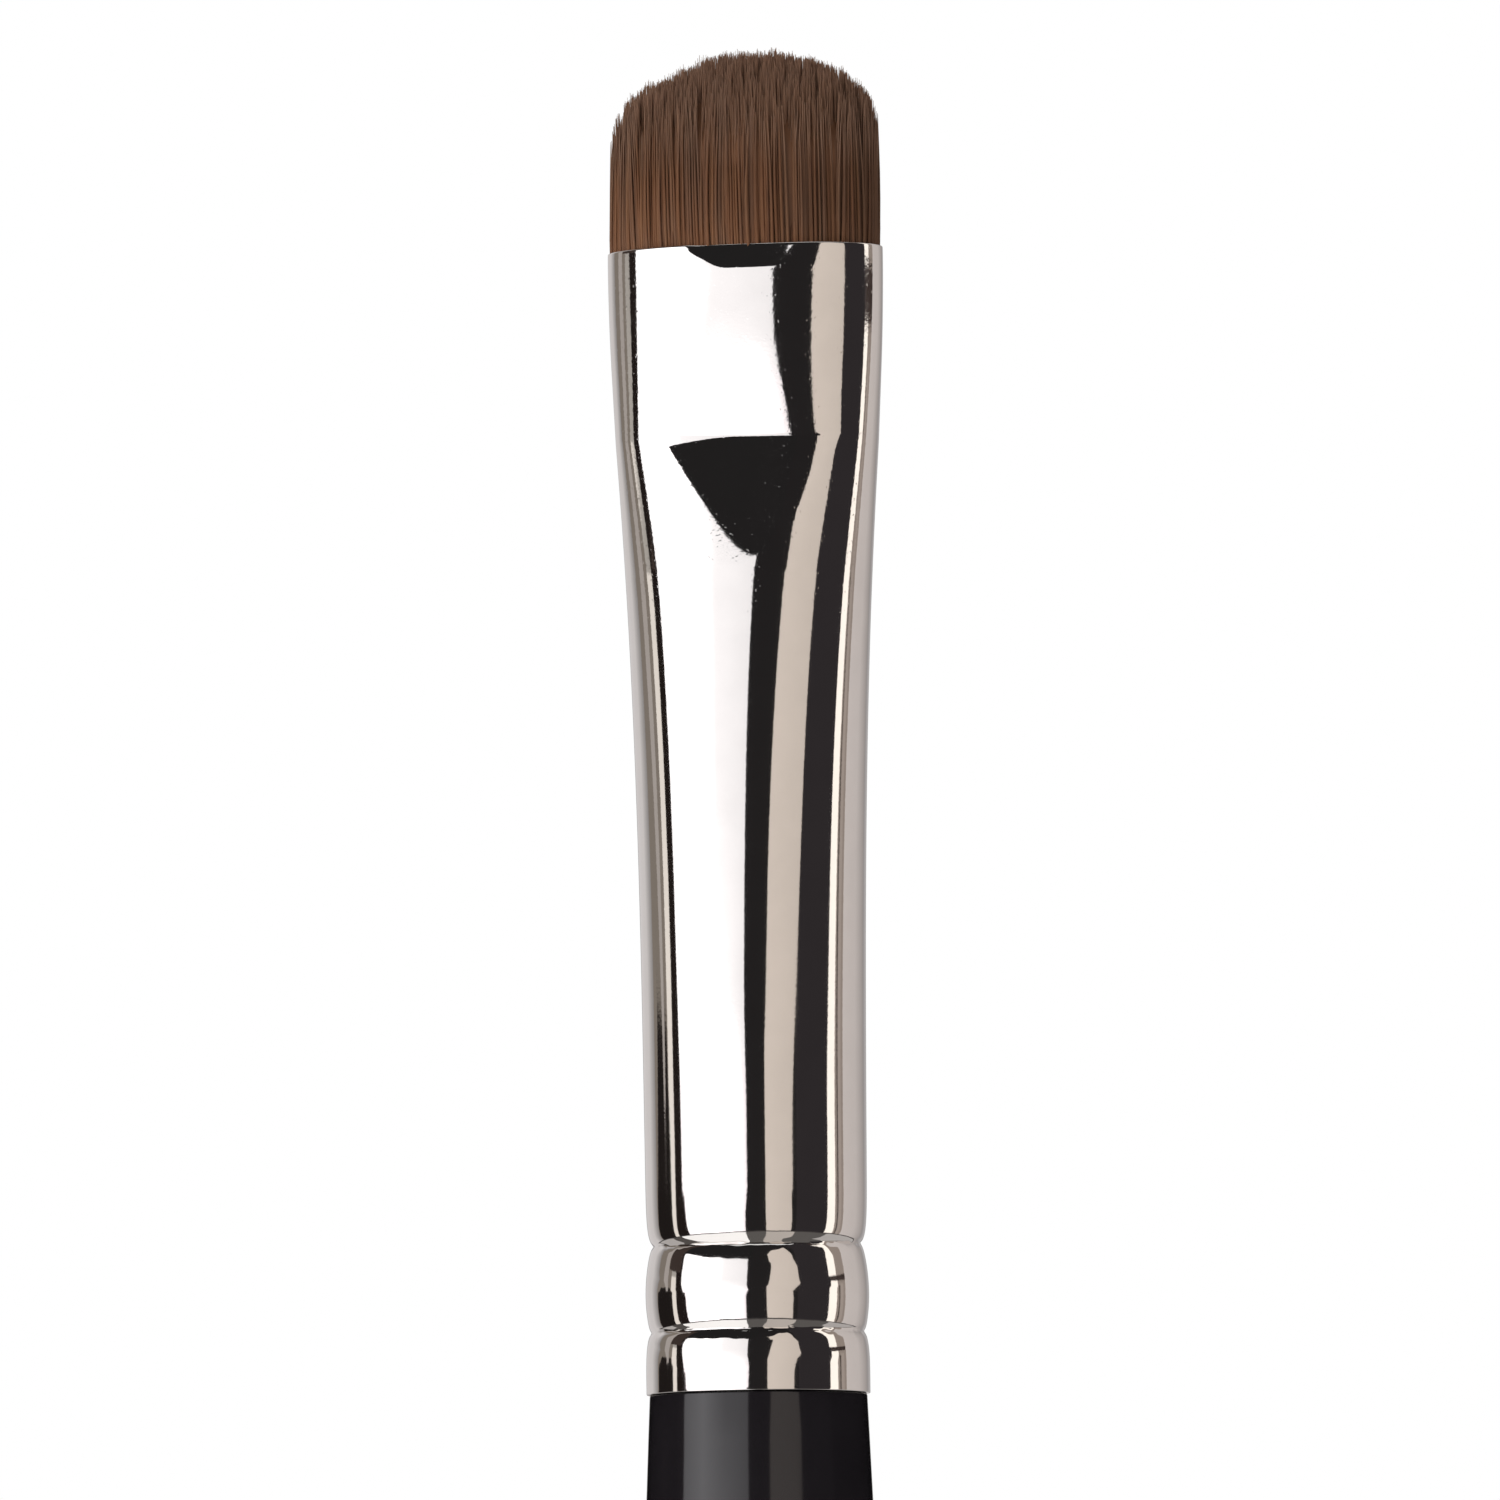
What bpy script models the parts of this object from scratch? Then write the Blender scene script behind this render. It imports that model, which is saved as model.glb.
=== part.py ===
# Smudger brush: a pressed, domed hair tuft in a seamless nickel ferrule, crimped on a lacquered handle.
# Metres. +Z runs up the brush from the handle's end to the hair tips, X is the tuft's width, Y its thickness.
# A depth is measured down from the ferrule's mouth, a rise up from its lower rim, a drop down from that rim.

import math

import bmesh
import bpy

mm = 0.001

# Lengths along the brush
handleLength = 127.7 * mm    # end of the handle to the ferrule's lower rim
ferruleLength = 36.3 * mm
hairLength = 6.3 * mm        # hair that stands out of the mouth

# Ferrule tube
tubeRadius = 3.5 * mm
tubeWall = 0.25 * mm
mouthHalfWidth = 4.52 * mm
mouthHalfThickness = 2.6 * mm
flareReach = 11.4 * mm       # depth over which most of the widening dies out
flarePower = 1.5
thinReach = 9.1 * mm         # and over which the thinning does
thinPower = 2.3
lipInset = 0.04 * mm         # how far the rim of the mouth leans inwards
lipDepth = 0.55 * mm

# Pressed faces at the mouth, with a crease and a facet below them
pressDepth = 6.1 * mm
creaseHalfThickness = 2.49 * mm
faceRadius = 10.4 * mm
facetLength = 4.15 * mm
facetSlope = 0.186
creaseBlend = 0.05 * mm

# Rolled crimps and the flared lower rim
upperCrimpRise = 4.8 * mm
upperCrimpDepth = 0.235 * mm
upperCrimpWidth = 0.62 * mm
lowerCrimpRise = 2.08 * mm
lowerCrimpDepth = 0.2 * mm
lowerCrimpWidth = 0.6 * mm
rimFlare = 0.115 * mm
rimFlareLength = 5.4 * mm

# Hair that shows
tuftHalfWidth = 4.4 * mm
tuftHalfThickness = 2.5 * mm
shoulderRise = 3.5 * mm      # above the mouth, where the domed top begins
strandColumns = 26
strandRows = 12
strandFill = 0.86            # share of its cell that a strand takes
strandTip = 0.22             # share of a strand's length that runs to its point

# Packed roots of the hair, inside the ferrule
strandRootDepth = 0.4 * mm
hairGap = 0.12 * mm          # hair to the inside of the ferrule
waistDrop = 0.9 * mm         # crease to the tied waist
waistSlope = 0.5 * mm
rootTail = 1.2 * mm          # hair below the waist

# Thread round the waist
threadRadius = 0.2 * mm
threadTurns = 3.5
threadPitch = 0.86 * mm
threadGap = 0.12 * mm

# Glue under the hair and over the tenon
glueGap = 0.12 * mm
rootGlueLength = 4.0 * mm
tenonGlueCap = 0.8 * mm
tenonGlueDish = 0.3 * mm
tenonGlueSkirt = 0.45 * mm
tenonGlueDrop = 3.0 * mm

# Handle
tenonLength = 15.0 * mm
tenonGap = 0.12 * mm
shoulderGap = 0.12 * mm
topRadius = 3.47 * mm
topRound = 0.25 * mm
bellyRadius = 4.25 * mm
bellyDrop = 30.0 * mm
taperPower = 1.5
endRadius = 2.6 * mm
endRound = 1.8 * mm
endFlatRadius = 2.0 * mm

# Facets
ferruleSides = 40
handleSides = 32
loopPoints = 24

# Heights that follow
rimZ = handleLength
mouthZ = rimZ + ferruleLength
tenonTopZ = rimZ + tenonLength
waistTopDepth = pressDepth + waistDrop
waistLength = threadTurns * threadPitch + 2.0 * (threadRadius + threadGap)
waistBottomDepth = waistTopDepth + waistLength
rootDepth = waistBottomDepth + waistSlope + rootTail


def clearScene():
    for old in list(bpy.data.objects):
        bpy.data.objects.remove(old, do_unlink=True)


def newCollection(name):
    made = bpy.data.collections.new(name)
    bpy.context.scene.collection.children.link(made)
    return made


def newMaterial(name, color, roughness, metallic=0.0, coat=0.0):
    made = bpy.data.materials.new(name)
    made.use_nodes = True
    shader = made.node_tree.nodes["Principled BSDF"]
    shader.inputs["Base Color"].default_value = (*color, 1.0)
    shader.inputs["Roughness"].default_value = roughness
    shader.inputs["Metallic"].default_value = metallic
    shader.inputs["Coat Weight"].default_value = coat
    return made


def addObject(name, data, material, collection):
    made = bpy.data.objects.new(name, data)
    data.materials.append(material)
    collection.objects.link(made)
    return made


def shadeRound(mesh, degrees):
    mesh.shade_smooth()
    mesh.set_sharp_from_angle(angle=math.radians(degrees))


def blend(start, stop, share):
    return start + (stop - start) * share


def between(start, stop, count):
    # Evenly spaced values after start, up to stop
    return [blend(start, stop, (index + 1) / count) for index in range(count)]


def profileMesh(name, profile):
    # An open outline of (radius, height) points in the XZ plane
    mesh = bpy.data.meshes.new(name)
    points = [(radius, 0.0, height) for radius, height in profile]
    edges = [(index, index + 1) for index in range(len(points) - 1)]
    mesh.from_pydata(points, edges, [])
    return mesh


def turn(target, sides):
    # The outline runs down the outer side, so the faces point outwards
    screw = target.modifiers.new("turn", "SCREW")
    screw.axis = "Z"
    screw.angle = 2.0 * math.pi
    screw.steps = sides
    screw.render_steps = sides
    screw.use_merge_vertices = True
    screw.merge_threshold = 0.000001
    screw.use_smooth_shade = True


# Shape of the ferrule's wall

def pressShare(depth, reach, power):
    # 1 at the mouth, falling smoothly to 0 where the tube is round
    return math.exp(-((max(0.0, depth) / reach) ** power))


def groove(rise, center, depth, width):
    # A sharp bottom between barrel-shaped flanks, as a crimping roll leaves it
    return depth * math.exp(-abs(rise - center) / width)


def crimpChange(rise):
    # Change of the radius by the flared rim and the two rolled grooves
    flared = rimFlare * max(0.0, 1.0 - rise / rimFlareLength)
    upper = groove(rise, upperCrimpRise, upperCrimpDepth, upperCrimpWidth)
    lower = groove(rise, lowerCrimpRise, lowerCrimpDepth, lowerCrimpWidth)
    return flared - upper - lower


def lipChange(depth):
    return lipInset * max(0.0, 1.0 - max(0.0, depth) / lipDepth) ** 2


def pressedHalfThickness(depth):
    # Middle of the pressed face above the crease, and of the steeper facet below it
    if depth < pressDepth:
        return blend(mouthHalfThickness, creaseHalfThickness, depth / pressDepth)
    return creaseHalfThickness + facetSlope * (depth - pressDepth)


def softMinimum(first, second, radius):
    return 0.5 * (first + second - math.hypot(first - second, radius))


def sectionPoint(depth, angle, inset=0.0):
    # A point on the outside of the ferrule, or that far inside it
    widened = pressShare(depth, flareReach, flarePower)
    thinned = pressShare(depth, thinReach, thinPower)
    change = crimpChange(ferruleLength - depth) - lipChange(depth) - inset
    x = (blend(tubeRadius, mouthHalfWidth, widened) + change) * math.cos(angle)
    y = (blend(tubeRadius, mouthHalfThickness, thinned) + change) * math.sin(angle)
    face = pressedHalfThickness(depth) - lipChange(depth) - inset - x * x / (2.0 * faceRadius)
    pressed = softMinimum(abs(y), face, creaseBlend)
    return x, math.copysign(max(0.0, pressed), y)


def fillPoint(u, v, depth, inset):
    # A point of the unit disc, mapped into the section
    x, y = sectionPoint(depth, math.atan2(v, u), inset)
    radius = math.hypot(u, v)
    return x * radius, y * radius


def boreRadius(depth, gap):
    # Largest round bar that fits the bore at this depth with the gap
    return sectionPoint(depth, 0.5 * math.pi, tubeWall + gap)[1]


def crimpRises(center, width, steps):
    return [center + step * width for step in steps]


def ferruleDepths():
    # Depths of the rings, closer together at the lip, the crease and the crimps
    grooveSteps = (2.3, 1.2, 0.5, 0.0, -0.5, -1.2)
    upper = crimpRises(upperCrimpRise, upperCrimpWidth, grooveSteps)
    lower = crimpRises(lowerCrimpRise, lowerCrimpWidth, grooveSteps)
    bulge = 0.5 * (upper[-1] + lower[0])
    facetEnd = pressDepth + facetLength
    body = ferruleLength - upper[0]
    depths = [0.0, 0.4 * lipDepth, lipDepth]
    depths += between(lipDepth, pressDepth - 0.3 * mm, 4) + [pressDepth]
    depths += [pressDepth + 0.3 * mm] + between(pressDepth + 0.3 * mm, facetEnd, 5)
    depths += [blend(facetEnd, body, share) for share in (0.12, 0.26, 0.45, 0.7)]
    depths += [ferruleLength - rise for rise in upper + [bulge] + lower]
    depths += between(depths[-1], ferruleLength, 2)
    return depths


def makeFerrule(collection):
    # A straight tube is turned first, then every ring is pressed to its section
    profile = [(tubeRadius, mouthZ - depth) for depth in ferruleDepths()]
    blank = bpy.data.objects.new("ferrule_blank", profileMesh("ferrule_blank", profile))
    collection.objects.link(blank)
    turn(blank, ferruleSides)
    graph = bpy.context.evaluated_depsgraph_get()
    tube = bpy.data.meshes.new_from_object(blank.evaluated_get(graph))
    bpy.data.objects.remove(blank, do_unlink=True)
    for vertex in tube.vertices:
        angle = math.atan2(vertex.co.y, vertex.co.x)
        vertex.co.x, vertex.co.y = sectionPoint(mouthZ - vertex.co.z, angle)
    shadeRound(tube, 60.0)
    nickel = newMaterial("polished_nickel", (0.72, 0.69, 0.66), 0.08, metallic=1.0)
    ferrule = addObject("ferrule", tube, nickel, collection)
    wall = ferrule.modifiers.new("tube wall", "SOLIDIFY")
    wall.thickness = tubeWall
    wall.offset = -1.0
    wall.use_even_offset = True


# Handle

def tenonRadius(rise):
    # The tenon follows the crimped wall, so the grooves lock it
    return boreRadius(ferruleLength - rise, tenonGap)


def tenonNeckRadius():
    return tenonRadius(tenonLength) - tenonGlueSkirt


def handleRadius(drop):
    # The lacquered outline swells to a belly, then tapers to the end
    if drop < bellyDrop:
        return blend(topRadius, bellyRadius, math.sin(0.5 * math.pi * drop / bellyDrop))
    share = (drop - bellyDrop) / (handleLength - endRound - bellyDrop)
    return blend(bellyRadius, endRadius, share ** taperPower)


def tenonProfile():
    neckBottom = tenonLength - tenonGlueDrop - glueGap
    neckRadius = tenonNeckRadius() - glueGap
    profile = [(0.0, tenonTopZ), (neckRadius, tenonTopZ), (neckRadius, rimZ + neckBottom)]
    rises = [neckBottom]
    rises += crimpRises(upperCrimpRise, upperCrimpWidth, (2.3, 1.2, 0.5, 0.0, -0.5, -1.2))
    rises += crimpRises(lowerCrimpRise, lowerCrimpWidth, (1.2, 0.5, 0.0, -0.5, -1.2, -2.3))
    return profile + [(tenonRadius(rise), rimZ + rise) for rise in rises]


def shoulderProfile():
    # Step out under the rim, with a rounded edge
    top = rimZ - shoulderGap
    inner = topRadius - topRound
    profile = [(tenonRadius(0.0), top), (inner, top)]
    for angle in between(0.0, 0.5 * math.pi, 3):
        profile.append((inner + topRound * math.sin(angle), top - topRound * (1.0 - math.cos(angle))))
    return profile


def endProfile():
    # Rounded end with a small flat face
    profile = []
    for angle in between(0.0, 0.5 * math.pi, 4):
        radius = blend(endFlatRadius, endRadius, math.cos(angle))
        profile.append((radius, endRound * (1.0 - math.sin(angle))))
    return profile + [(0.0, 0.0)]


def makeHandle(collection):
    lacquer = newMaterial("black_lacquer", (0.012, 0.011, 0.011), 0.12, coat=1.0)
    belly = between(shoulderGap + topRound, bellyDrop, 7)
    taper = between(bellyDrop, handleLength - endRound, 12)
    profile = tenonProfile() + shoulderProfile()
    profile += [(handleRadius(drop), rimZ - drop) for drop in belly + taper]
    profile += endProfile()
    handle = addObject("handle", profileMesh("handle", profile), lacquer, collection)
    turn(handle, handleSides)


# Glue

def makeTenonGlue(collection):
    # Adhesive that the tenon pushed up into a cap and down round its neck
    resin = newMaterial("amber_glue", (0.55, 0.36, 0.13), 0.3)
    inner = tenonNeckRadius()
    capBottom = tenonTopZ + glueGap
    capTop = capBottom + tenonGlueCap
    outer = boreRadius(mouthZ - capTop, glueGap)
    skirtBottom = tenonTopZ - tenonGlueDrop
    profile = [(0.0, capTop - tenonGlueDish), (0.6 * outer, capTop - 0.6 * tenonGlueDish)]
    profile += [(outer, capTop), (outer, skirtBottom)]
    profile += [(inner, skirtBottom), (inner, capBottom), (0.0, capBottom)]
    glue = addObject("tenon_glue", profileMesh("tenon_glue", profile), resin, collection)
    turn(glue, handleSides)


def makeRootGlue(collection):
    # Plug of set resin under the hair, in the tube's own section
    resin = newMaterial("clear_resin", (0.62, 0.48, 0.26), 0.25)
    middle = rootDepth + glueGap + 0.5 * rootGlueLength
    bm = bmesh.new()
    bmesh.ops.create_cone(
        bm, cap_ends=True, segments=handleSides, radius1=1.0, radius2=1.0, depth=rootGlueLength)
    for vertex in bm.verts:
        depth = middle - vertex.co.z
        vertex.co.x, vertex.co.y = fillPoint(vertex.co.x, vertex.co.y, depth, tubeWall + glueGap)
        vertex.co.z = mouthZ - depth
    mesh = bpy.data.meshes.new("root_glue")
    bm.to_mesh(mesh)
    bm.free()
    shadeRound(mesh, 40.0)
    addObject("root_glue", mesh, resin, collection)


# Hair tuft. It is modelled over a unit disc, with heights from the mouth, and mapped into the ferrule last.

def discPoint(x, y):
    # A square of side 2 becomes the unit disc
    return x * math.sqrt(1.0 - 0.5 * y * y), y * math.sqrt(1.0 - 0.5 * x * x)


def domeRise(u, v):
    return shoulderRise + (hairLength - shoulderRise) * math.sqrt(max(0.0, 1.0 - u * u - v * v))


def rootInset(depth):
    # The thread draws the hair in at the waist
    if waistTopDepth - 0.5 * waistSlope < depth < waistBottomDepth + 0.5 * waistSlope:
        return tubeWall + 2.0 * (threadGap + threadRadius)
    return tubeWall + hairGap


def tuftPoint(u, v, rise):
    # Packed in the ferrule below the strands' roots; above them every strand keeps its place and spreads
    if rise < -1.01 * strandRootDepth:
        return fillPoint(u, v, -rise, rootInset(-rise))
    inset = tubeWall + hairGap
    x, y = fillPoint(u, v, 0.0, inset)
    spread = rise / shoulderRise
    halfWidth = sectionPoint(0.0, 0.0, inset)[0]
    halfThickness = sectionPoint(0.0, 0.5 * math.pi, inset)[1]
    x *= blend(1.0, tuftHalfWidth / halfWidth, spread)
    y *= blend(1.0, tuftHalfThickness / halfThickness, spread)
    return x, y


def scaleFaces(faces, share):
    for face in faces:
        middle = face.calc_center_median()
        for vertex in face.verts:
            vertex.co = middle.lerp(vertex.co, share)


def growRoots(bm):
    # Walls run down from the outline of the strands, in at the waist, and close at the bottom
    waist = [waistTopDepth - waistSlope, waistTopDepth, waistBottomDepth, waistBottomDepth + waistSlope]
    outline = [edge for edge in bm.edges if edge.is_boundary]
    for depth in [0.5 * pressDepth, pressDepth] + waist + [rootDepth]:
        grown = bmesh.ops.extrude_edge_only(bm, edges=outline)["geom"]
        for item in grown:
            if isinstance(item, bmesh.types.BMVert):
                item.co.z = -depth
        outline = [item for item in grown if isinstance(item, bmesh.types.BMEdge) and item.is_boundary]
    bmesh.ops.contextual_create(bm, geom=outline)


def growStrands(bm, cells):
    # Each cell is drawn in, raised to its bend and brought to a point on the dome
    roots = bmesh.ops.extrude_discrete_faces(bm, faces=cells)["faces"]
    scaleFaces(roots, strandFill)
    bends = bmesh.ops.extrude_discrete_faces(bm, faces=roots)["faces"]
    for face in bends:
        middle = face.calc_center_median()
        height = blend(-strandRootDepth, domeRise(middle.x, middle.y), 1.0 - strandTip)
        for vertex in face.verts:
            vertex.co.z = height
    for vertex in bmesh.ops.poke(bm, faces=bends)["verts"]:
        vertex.co.z = domeRise(vertex.co.x, vertex.co.y)


def makeHairTuft(collection):
    hair = newMaterial("brown_hair", (0.119, 0.056, 0.028), 0.6)
    bm = bmesh.new()
    bmesh.ops.create_grid(bm, x_segments=strandColumns, y_segments=strandRows, size=1.0)
    for vertex in bm.verts:
        vertex.co.x, vertex.co.y = discPoint(vertex.co.x, vertex.co.y)
        vertex.co.z = -strandRootDepth
    cells = bm.faces[:]
    growRoots(bm)
    growStrands(bm, cells)
    for vertex in bm.verts:
        rise = vertex.co.z
        vertex.co.x, vertex.co.y = tuftPoint(vertex.co.x, vertex.co.y, rise)
        vertex.co.z = mouthZ + rise
    bmesh.ops.recalc_face_normals(bm, faces=bm.faces)
    mesh = bpy.data.meshes.new("hair_tuft")
    bm.to_mesh(mesh)
    bm.free()
    addObject("hair_tuft", mesh, hair, collection)
    print("strands:", len(cells))


# Thread

def threadPoints():
    # A helix that follows the waist's section
    count = int(round(threadTurns * loopPoints))
    points = []
    for index in range(count + 1):
        turns = index / loopPoints
        depth = waistTopDepth + threadGap + threadRadius + threadPitch * turns
        x, y = sectionPoint(depth, 2.0 * math.pi * turns, tubeWall + threadGap + threadRadius)
        points.append((x, y, mouthZ - depth))
    return points


def leastGap(points, apart):
    # Clear distance between stretches of the thread at least that many points apart
    nearest = min(
        math.dist(points[first], points[second])
        for first in range(len(points)) for second in range(first + apart, len(points)))
    return nearest - 2.0 * threadRadius


def makeThread(collection):
    linen = newMaterial("linen_thread", (0.62, 0.55, 0.42), 0.8)
    points = threadPoints()
    path = bpy.data.curves.new("binding_thread", "CURVE")
    path.dimensions = "3D"
    path.bevel_depth = threadRadius
    path.bevel_resolution = 1
    path.use_fill_caps = True
    spline = path.splines.new("POLY")
    spline.points.add(len(points) - 1)
    for place, point in zip(points, spline.points):
        point.co = (*place, 1.0)
    addObject("binding_thread", path, linen, collection)
    print("thread, least gap to itself: %.2f mm" % (leastGap(points, int(loopPoints / 2)) / mm))


def main():
    clearScene()
    brush = newCollection("smudger_brush")
    makeHandle(brush)
    makeTenonGlue(brush)
    makeFerrule(brush)
    makeRootGlue(brush)
    makeThread(brush)
    makeHairTuft(brush)


main()
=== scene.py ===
import math
import random

import bpy
from mathutils import Matrix, Vector, noise


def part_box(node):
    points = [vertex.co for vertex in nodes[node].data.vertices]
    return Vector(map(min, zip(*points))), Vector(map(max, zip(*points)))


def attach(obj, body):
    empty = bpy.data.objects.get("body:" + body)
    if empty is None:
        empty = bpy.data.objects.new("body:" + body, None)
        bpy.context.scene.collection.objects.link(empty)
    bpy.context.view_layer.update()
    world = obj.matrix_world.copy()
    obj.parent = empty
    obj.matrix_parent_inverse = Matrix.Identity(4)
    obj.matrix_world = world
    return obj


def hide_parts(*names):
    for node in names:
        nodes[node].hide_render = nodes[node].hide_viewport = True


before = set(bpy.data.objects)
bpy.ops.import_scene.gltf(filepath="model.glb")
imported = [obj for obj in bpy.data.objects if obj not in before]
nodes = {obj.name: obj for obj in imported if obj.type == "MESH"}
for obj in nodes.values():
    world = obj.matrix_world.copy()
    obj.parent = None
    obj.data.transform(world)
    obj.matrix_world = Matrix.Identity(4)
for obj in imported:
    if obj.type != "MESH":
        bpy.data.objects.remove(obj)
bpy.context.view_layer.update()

# Smudger brush, upright with the hair on top. Metres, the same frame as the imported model.
mm = 0.001
ferruleLow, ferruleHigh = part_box("ferrule")
mouthZ = ferruleHigh.z
rimZ = ferruleLow.z
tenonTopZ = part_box("handle")[1].z
tuftLowZ, tuftHighZ = [corner.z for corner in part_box("hair_tuft")]
print("frame loaded, mouth of the ferrule at", round(mouthZ / mm, 2), "mm")


def deselectAll():
    if bpy.context.object and bpy.context.object.mode != "OBJECT":
        bpy.ops.object.mode_set(mode="OBJECT")
    bpy.ops.object.select_all(action="DESELECT")


def activate(piece):
    deselectAll()
    piece.select_set(True)
    bpy.context.view_layer.objects.active = piece


def mix(start, stop, share):
    return start + (stop - start) * share


def clamp(value, low=0.0, high=1.0):
    return max(low, min(high, value))


def ease(value):
    value = clamp(value)
    return value * value * (3.0 - 2.0 * value)


def softPositive(value, blend):
    # the value above 0 and nothing below, with a rounded corner
    return 0.5 * (value + math.hypot(value, blend))


def spread(start, stop, count):
    # evenly spaced values after start, up to stop
    return [mix(start, stop, (index + 1) / count) for index in range(count)]


def ringTube(name, sides, heights):
    # an open tube: one circle at the top, drawn down ring by ring; shaped afterwards
    deselectAll()
    bpy.ops.mesh.primitive_circle_add(
        vertices=sides, radius=mm, fill_type="NOTHING", location=(0, 0, heights[0]))
    tube = bpy.context.object
    tube.name = name
    tube.data.name = name
    bpy.ops.object.mode_set(mode="EDIT")
    bpy.ops.mesh.select_all(action="SELECT")
    for upper, lower in zip(heights, heights[1:]):
        bpy.ops.mesh.extrude_edges_move(TRANSFORM_OT_translate={"value": (0, 0, lower - upper)})
    bpy.ops.object.mode_set(mode="OBJECT")
    bpy.ops.object.transform_apply(location=True, rotation=True, scale=True)
    return tube


def closeRings(piece, heights):
    # a face over each open ring at these heights
    activate(piece)
    for height in heights:
        for vertex in piece.data.vertices:
            vertex.select = abs(vertex.co.z - height) < 1e-7
        for edge in piece.data.edges:
            edge.select = all(piece.data.vertices[index].select for index in edge.vertices)
        for face in piece.data.polygons:
            face.select = False
        bpy.ops.object.mode_set(mode="EDIT")
        bpy.ops.mesh.edge_face_add()
        bpy.ops.mesh.select_all(action="DESELECT")
        bpy.ops.object.mode_set(mode="OBJECT")


def applyModifiers(piece):
    activate(piece)
    for modifier in list(piece.modifiers):
        bpy.ops.object.modifier_apply(modifier=modifier.name)


def outwards(piece):
    activate(piece)
    bpy.ops.object.mode_set(mode="EDIT")
    bpy.ops.mesh.select_all(action="SELECT")
    bpy.ops.mesh.normals_make_consistent(inside=False)
    bpy.ops.object.mode_set(mode="OBJECT")


def smooth(piece, degrees):
    activate(piece)
    bpy.ops.object.shade_smooth_by_angle(angle=math.radians(degrees))


def place(piece, slotName, material, *replaced):
    piece.data.materials.clear()
    piece.data.materials.append(material)
    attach(piece, "root")
    if replaced:
        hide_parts(*replaced)


# Node helpers

def startMaterial(name):
    material = bpy.data.materials.new(name)
    material.use_nodes = True
    tree = material.node_tree
    return material, tree, tree.nodes["Principled BSDF"]


def plug(tree, value, socket):
    if isinstance(value, bpy.types.NodeSocket):
        tree.links.new(value, socket)
    else:
        socket.default_value = value


def addNode(tree, kind, settings=None, **inputs):
    node = tree.nodes.new(kind)
    for key, value in (settings or {}).items():
        setattr(node, key, value)
    for key, value in inputs.items():
        plug(tree, value, node.inputs[key.replace("_", " ")])
    return node


def objectPoint(tree, scale=(1.0, 1.0, 1.0)):
    coordinates = tree.nodes.new("ShaderNodeTexCoord")
    mapping = addNode(tree, "ShaderNodeMapping", Vector=coordinates.outputs["Object"], Scale=scale)
    return mapping.outputs["Vector"]


def noiseAt(tree, point, scale, detail):
    return addNode(tree, "ShaderNodeTexNoise", Vector=point, Scale=scale, Detail=detail).outputs["Fac"]


def readAttribute(tree, name):
    return addNode(tree, "ShaderNodeAttribute", {"attribute_name": name}).outputs["Fac"]


def compute(tree, operation, *values, clamped=False):
    node = addNode(tree, "ShaderNodeMath", {"operation": operation, "use_clamp": clamped})
    for value, socket in zip(values, node.inputs):
        plug(tree, value, socket)
    return node.outputs["Value"]


def mapRange(tree, value, start, stop, low=0.0, high=1.0):
    node = addNode(
        tree, "ShaderNodeMapRange", Value=value, From_Min=start, From_Max=stop, To_Min=low, To_Max=high)
    return node.outputs["Result"]


def mixColors(tree, share, first, second, blend="MIX"):
    node = addNode(tree, "ShaderNodeMix", {"data_type": "RGBA", "blend_type": blend})
    for index, value in ((0, share), (6, first), (7, second)):
        plug(tree, value, node.inputs[index])
    return node.outputs[2]


def ramp(tree, factor, stops):
    node = tree.nodes.new("ShaderNodeValToRGB")
    elements = node.color_ramp.elements
    while len(elements) < len(stops):
        elements.new(0.5)
    for element, (position, color) in zip(elements, stops):
        element.position = position
        element.color = (*color, 1.0)
    tree.links.new(factor, node.inputs["Fac"])
    return node.outputs["Color"]


def scaled(color, factor):
    return tuple(factor * part for part in color)


# Ferrule: one seamless tube, pressed flat at the mouth and crimped on the handle. A depth is measured down
# from the mouth, and a rise up from the lower rim.

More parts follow.
